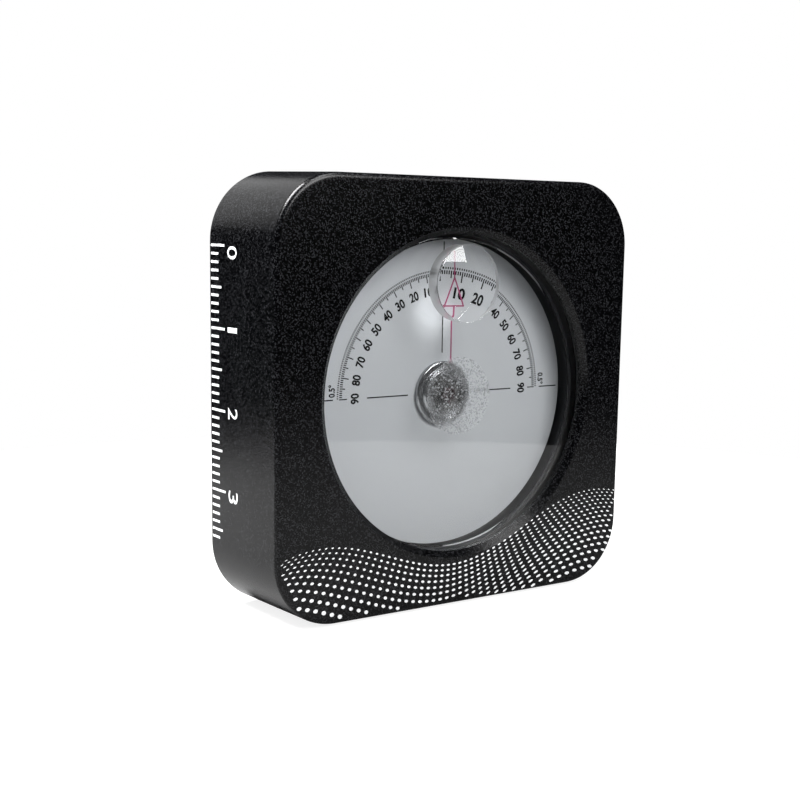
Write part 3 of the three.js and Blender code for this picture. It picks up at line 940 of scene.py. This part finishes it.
def bar_from_to(start, end, width, face, ends=0.0):
    """Where a unit bar goes on a face, between two (x, z) points, longer by a little at its ends."""
    (x0, z0), (x1, z1) = start, end
    length = math.hypot(x1 - x0, z1 - z0)
    along = Vector(((x1 - x0) / length, 0, (z1 - z0) / length))
    side = Vector((along.z, 0, -along.x))
    middle = at((x0 + x1) / 2, face, CAPSULE_Z + (z0 + z1) / 2)
    reach = length + ends
    return Matrix.Translation(middle) @ Matrix((
        (side.x * width, 0, along.x * reach, 0), (0, 1, 0, 0),
        (side.z * width, 0, along.z * reach, 0), (0, 0, 0, 1)))


def spoke(degrees):
    """The directions outward and to the side on the dial, clockwise from the top."""
    angle = math.radians(degrees)
    return Vector((math.sin(angle), 0, math.cos(angle))), Vector((math.cos(angle), 0, -math.sin(angle)))


def bar_on_dial(degrees, inner, outer, width, face):
    """Where a unit bar goes on a face, between two radii."""
    outward, side = spoke(degrees)
    return bar_from_to((outward.x * inner, outward.z * inner), (outward.x * outer, outward.z * outer),
                       width, face)


def lettering(text, width, height, bold, place, right, up):
    """Figures as a thin mesh of a given width and height, their middle at a place, turned to right and up."""
    clear_selection()
    bpy.ops.object.text_add(location=(0, 0, 0))
    words = bpy.context.object
    words.data.body = text
    words.data.size = 1.0
    words.data.offset = bold
    bpy.ops.object.convert(target="MESH")
    words = bpy.context.object
    edit(words)
    bpy.ops.mesh.select_all(action="SELECT")
    bpy.ops.mesh.remove_doubles(threshold=0.0001)
    bpy.ops.mesh.extrude_region_move(TRANSFORM_OT_translate={"value": (0, 0, 1)})
    bpy.ops.mesh.select_all(action="SELECT")
    bpy.ops.mesh.normals_make_consistent(inside=False)
    leave_edit()
    xs = [vertex.co.x for vertex in words.data.vertices]
    ys = [vertex.co.y for vertex in words.data.vertices]
    middle = ((min(xs) + max(xs)) / 2, (min(ys) + max(ys)) / 2, 0.5)
    words.data.transform(Matrix.Translation(middle).inverted())
    words.data.transform(Matrix.Diagonal((
        width * MM / (max(xs) - min(xs)), height * MM / (max(ys) - min(ys)), INK * MM, 1)))
    out = right.cross(up)
    words.data.transform(Matrix((
        (right.x, up.x, out.x, place.x), (right.y, up.y, out.y, place.y),
        (right.z, up.z, out.z, place.z), (0, 0, 0, 1))))
    return words


def dial_print():
    """The scale from 90 over 0 to 90, a dash at each half degree, the figures and the axis lines."""
    face = DIAL_FRONT - INK / 2
    bars = []
    for degree in range(-90, 91):
        inner = TEN_INNER if degree % 10 == 0 else FIVE_INNER if degree % 5 == 0 else SCALE_INNER
        bars.append(bar_on_dial(degree, inner, SCALE_OUTER, SCALE_WIDTH, face))
    for degree in range(-90, 90):
        bars.append(bar_on_dial(degree + 0.5, *DASH, DASH_WIDTH, face))
    for quarter in (-90, 0, 90):
        for line in AXIS_LINES:
            bars.append(bar_on_dial(quarter, *line, AXIS_LINE_WIDTH, face))
    pieces = [stamped("dial_print", flat_bar(), bars)]
    for degree in range(-90, 91, 10):
        if degree == 0:
            continue
        outward, side = spoke(degree)
        place = at(0, face, CAPSULE_Z) + outward * FIGURE_RADIUS * MM
        pieces.append(lettering(str(abs(degree)), *FIGURE_SIZE, FIGURE_BOLD, place, side, outward))
    for side in (-1, 1):
        place = at(side * UNIT_RADIUS, face, CAPSULE_Z + UNIT_RISE)
        right, up = Vector((0, 0, -side)), Vector((side, 0, 0))
        pieces.append(lettering("0.5°", *UNIT_SIZE, UNIT_BOLD, place, right, up))
    piece = joined("dial_print", pieces)
    fit(piece, "dial", "dial_silver", BLACK_INK)


def index_print():
    """The fixed index on the back of the crystal: a line with an outlined triangle in it."""
    start, base = INDEX_STEM
    strokes = [
        ((0, start), (0, base), STEM_WIDTH), ((0, INDEX_APEX), (0, INDEX_TIP), TIP_WIDTH),
        ((-INDEX_HALF, base), (0, INDEX_APEX), SIDE_WIDTH), ((INDEX_HALF, base), (0, INDEX_APEX), SIDE_WIDTH),
        ((-INDEX_HALF, base), (INDEX_HALF, base), SIDE_WIDTH)]
    piece = stamped("index_print", flat_bar(), [
        bar_from_to(low, high, width, CRYSTAL_BACK + INK, width) for low, high, width in strokes])
    fit(piece, "case", "clear_plastic", RED_INK)


def place_on_side(depth, z):
    """A place on the left side, which leans outwards to the rear by the block's draft."""
    return at(-(FRONT_HALF + DRAFT * depth / BLOCK_DEPTH) - INK / 2, depth, z)


def ruler_print():
    """Ticks a millimetre apart along the rear of the left side, with a figure at each tenth."""
    lean = math.atan(DRAFT / BLOCK_DEPTH)
    places = []
    for tick in range(RULER_TICKS):
        reach = TEN_REACH if tick % 10 == 0 else FIVE_REACH if tick % 5 == 0 else TICK_REACH
        middle = place_on_side(RULER_START - reach / 2, RULER_TOP - tick * RULER_PITCH)
        places.append(Matrix.Translation(middle) @ Matrix((
            (0, -1, -math.sin(lean) * reach, 0), (0, 0, math.cos(lean) * reach, 0),
            (TICK_WIDTH, 0, 0, 0), (0, 0, 0, 1))))
    pieces = [stamped("ruler_print", flat_bar(), places)]
    right, up = Vector((0, 0, -1)), Vector((math.sin(lean), -math.cos(lean), 0))
    for figure, (width, drop) in enumerate(zip(RULER_FIGURE_WIDTHS, RULER_FIGURE_DROPS)):
        place = place_on_side(RULER_FIGURE_DEPTH, RULER_TOP - figure * 10 * RULER_PITCH - drop)
        pieces.append(lettering(str(figure), width, RULER_FIGURE_HEIGHT, 0.0, place, right, up))
    piece = joined("ruler_print", pieces)
    fit(piece, "case", "black_coat", WHITE_INK)


def wave(column, row):
    """The height of the wave sheet, from -1 to 1."""
    shift = WAVE_SHIFT * row + WAVE_SHIFT_GROWTH * row ** 2
    return math.sin(2 * math.pi * column * DOT_PITCH / WAVE_LENGTH + shift + WAVE_START)


def sheet_point(column, row):
    """Where the wave sheet's column and row come to lie on the front face, as (x, z)."""
    near = 1 - DOT_NEARER * row
    across = column * DOT_PITCH
    fall = DOT_FALL - WAVE_HEIGHT * wave(column, row) - SHEET_TILT * across
    return across / near - DOT_LEFT, DOT_TOP - fall / near


def on_front_face(x, z, margin):
    """Whether a point lies on the flat of the front face, with a margin."""
    corner = FRONT_HALF - CORNER_RADIUS
    beyond = math.hypot(max(abs(x) - corner, 0), max(abs(z) - corner, 0))
    return beyond < CORNER_RADIUS - margin and max(abs(x), abs(z)) < FRONT_HALF - margin


def dot_print():
    """Dots that grow towards the wave's troughs and the lower rows, each lying along the sheet."""
    clear_selection()
    bpy.ops.mesh.primitive_cylinder_add(
        vertices=DOT_CORNERS, radius=MM, depth=INK * MM, rotation=TO_FRONT)
    shape = named("dot")
    places = []
    for row in range(DOT_ROWS):
        for column in range(-DOT_COLUMNS, DOT_COLUMNS + 1):
            x, z = sheet_point(column, row)
            if not on_front_face(x, z, DOT_MARGIN):
                continue
            (ax, az), (bx, bz) = sheet_point(column + 0.5, row), sheet_point(column - 0.5, row)
            (cx, cz), (dx, dz) = sheet_point(column, row - 0.5), sheet_point(column, row + 0.5)
            growth = min(1.0, max(0.5 - 0.5 * wave(column, row), row / DOT_FULL_ROW))
            wide = DOT_WIDE + DOT_WIDENS * growth
            tall = DOT_TALL + DOT_HEIGHTENS * growth
            places.append(Matrix.Translation(at(x, -INK / 2, z)) @ Matrix((
                ((ax - bx) * wide, 0, (cx - dx) * tall, 0), (0, 1, 0, 0),
                ((az - bz) * wide, 0, (cz - dz) * tall, 0), (0, 0, 0, 1))))
    piece = stamped("dot_print", shape, places)
    fit(piece, "case", "black_coat", WHITE_INK)


def finish_frame_nodes():
    """Gives materials to the pieces that the frame already has in the right shape."""
    finishes = {
        "capsule_gasket": RUBBER, "filler_plug": BRASS, "cushion_ring": RUBBER, "front_jewel": JEWEL,
        "rear_jewel": JEWEL, "pivot_staff": STEEL, "hub_collar": BRASS, "balance_weight": BRASS}
    for node, material in finishes.items():
        mesh = frame["nodes"][node].data
        mesh.materials.clear()
        mesh.materials.append(material)


# Studio

def camera():
    """The camera at its real place and with its roll. Its lens axis lies beside the picture's middle."""
    data = bpy.data.cameras.new("camera")
    data.sensor_width = SENSOR
    data.lens = FOCAL_PX * SENSOR / PICTURE_PX
    data.shift_x = (PICTURE_PX / 2 - LENS_AXIS_PX[0]) / PICTURE_PX
    data.shift_y = (LENS_AXIS_PX[1] - PICTURE_PX / 2) / PICTURE_PX
    data.clip_start = 0.01
    data.clip_end = 20.0
    seen = bpy.data.objects.new("camera", data)
    bpy.context.scene.collection.objects.link(seen)
    back = Vector((math.sin(CAMERA_AZIMUTH) * math.cos(CAMERA_ELEVATION),
                   -math.cos(CAMERA_AZIMUTH) * math.cos(CAMERA_ELEVATION), math.sin(CAMERA_ELEVATION)))
    level = Vector((math.cos(CAMERA_AZIMUTH), math.sin(CAMERA_AZIMUTH), 0))
    upward = back.cross(level)
    right = level * math.cos(CAMERA_ROLL) + upward * math.sin(CAMERA_ROLL)
    up = upward * math.cos(CAMERA_ROLL) - level * math.sin(CAMERA_ROLL)
    turn = Matrix((right, up, back)).transposed().to_4x4()
    seen.matrix_world = Matrix.Translation(CAMERA_PLACE) @ turn
    bpy.context.scene.camera = seen


def lamp(name, kind, place, target, power):
    """A lamp at a place in millimetres that faces the target, and its data."""
    data = bpy.data.lights.new(name, kind)
    data.energy = power
    piece = bpy.data.objects.new(name, data)
    bpy.context.scene.collection.objects.link(piece)
    piece.location = Vector(place) * MM
    piece.rotation_euler = (Vector(target) * MM - piece.location).to_track_quat("-Z", "Y").to_euler()
    return piece, data


def softbox(name, place, target, size, power, shine_only=False):
    """A rectangular lamp that the camera doesn't see. With shine_only it acts on glossy surfaces alone."""
    piece, data = lamp(name, "AREA", place, target, power)
    data.shape = "RECTANGLE"
    data.size, data.size_y = size[0] * MM, size[1] * MM
    piece.visible_camera = False
    piece.visible_diffuse = not shine_only


def spot(name, place, target, radius, power):
    """A narrow soft-edged lamp that lights a small patch, and that nothing mirrors."""
    piece, data = lamp(name, "SPOT", place, target, power)
    data.spot_size = 2 * math.atan(radius / (Vector(target) - Vector(place)).length)
    data.spot_blend = 1.0
    data.shadow_soft_size = 0.5 * MM
    piece.visible_glossy = False


def floor():
    """A pale table top that ends in front of the object, where the window mirrors its edge.

    To the camera alone it glows, so that it looks as white as the backdrop.
    """
    clear_selection()
    bpy.ops.mesh.primitive_circle_add(
        vertices=FLOOR_STEPS, radius=FLOOR_RADIUS, fill_type="NGON", location=(0, 0, 0))
    piece = named("floor")
    recipe = Recipe("floor", colour(0.28, 0.28, 0.28), 0.9, Specular_IOR_Level=0.0)
    plain = recipe.shader.outputs[0]
    glow = recipe.add("ShaderNodeEmission", Color=colour(1, 1, 1), Strength=FLOOR_GLOW)
    glowing = recipe.add("ShaderNodeAddShader", plain, glow.outputs[0])
    path = recipe.add("ShaderNodeLightPath")
    shader = recipe.mixed(path.outputs["Is Camera Ray"], plain, glowing.outputs[0])
    piece.data.materials.append(recipe.shown_by(shader))


def world():
    """Plain surroundings: white behind the object, and nearly dark where they light it."""
    backdrop = bpy.data.worlds.new("studio")
    bpy.context.scene.world = backdrop
    backdrop.use_nodes = True
    nodes = Nodes(backdrop.node_tree)
    seen = nodes.tree.nodes["Background"]
    nodes.give(seen.inputs["Color"], colour(1.0, 1.0, 1.0))
    nodes.give(seen.inputs["Strength"], 1.0)
    lighting = nodes.add("ShaderNodeBackground", Color=colour(0.9, 0.95, 1.0), Strength=0.02)
    path = nodes.add("ShaderNodeLightPath")
    mix = nodes.mixed(path.outputs["Is Camera Ray"], lighting.outputs[0], seen.outputs[0])
    nodes.give(nodes.tree.nodes["World Output"].inputs["Surface"], mix)


bpy.context.scene.view_settings.view_transform = "Standard"
camera()
world()
floor()
softbox("front_box", (112, -350, 291), (112, 0, 291), (224, 316), power=3.0)
softbox("rear_box", (-60, 420, 240), (0, 0, 40), (360, 240), power=0.24)
softbox("side_box", (-420, 60, 420), (0, 0, 0), (260, 260), power=1.0)
softbox("top_box", (-170, 60, 330), (-170, 60, 0), (200, 200), power=5.5)
softbox("lip_box", (60, -130, 370), (0, 0, 8), (160, 160), power=0.8, shine_only=True)
spot("lens_spot", (60, -380, 120), (-1.4, -1.4, 37.2), radius=3.9, power=5.8)

block()
cover()
screws()
magnets()
cup()
crystal()
dial()
hub()
dial_print()
index_print()
ruler_print()
dot_print()
finish_frame_nodes()
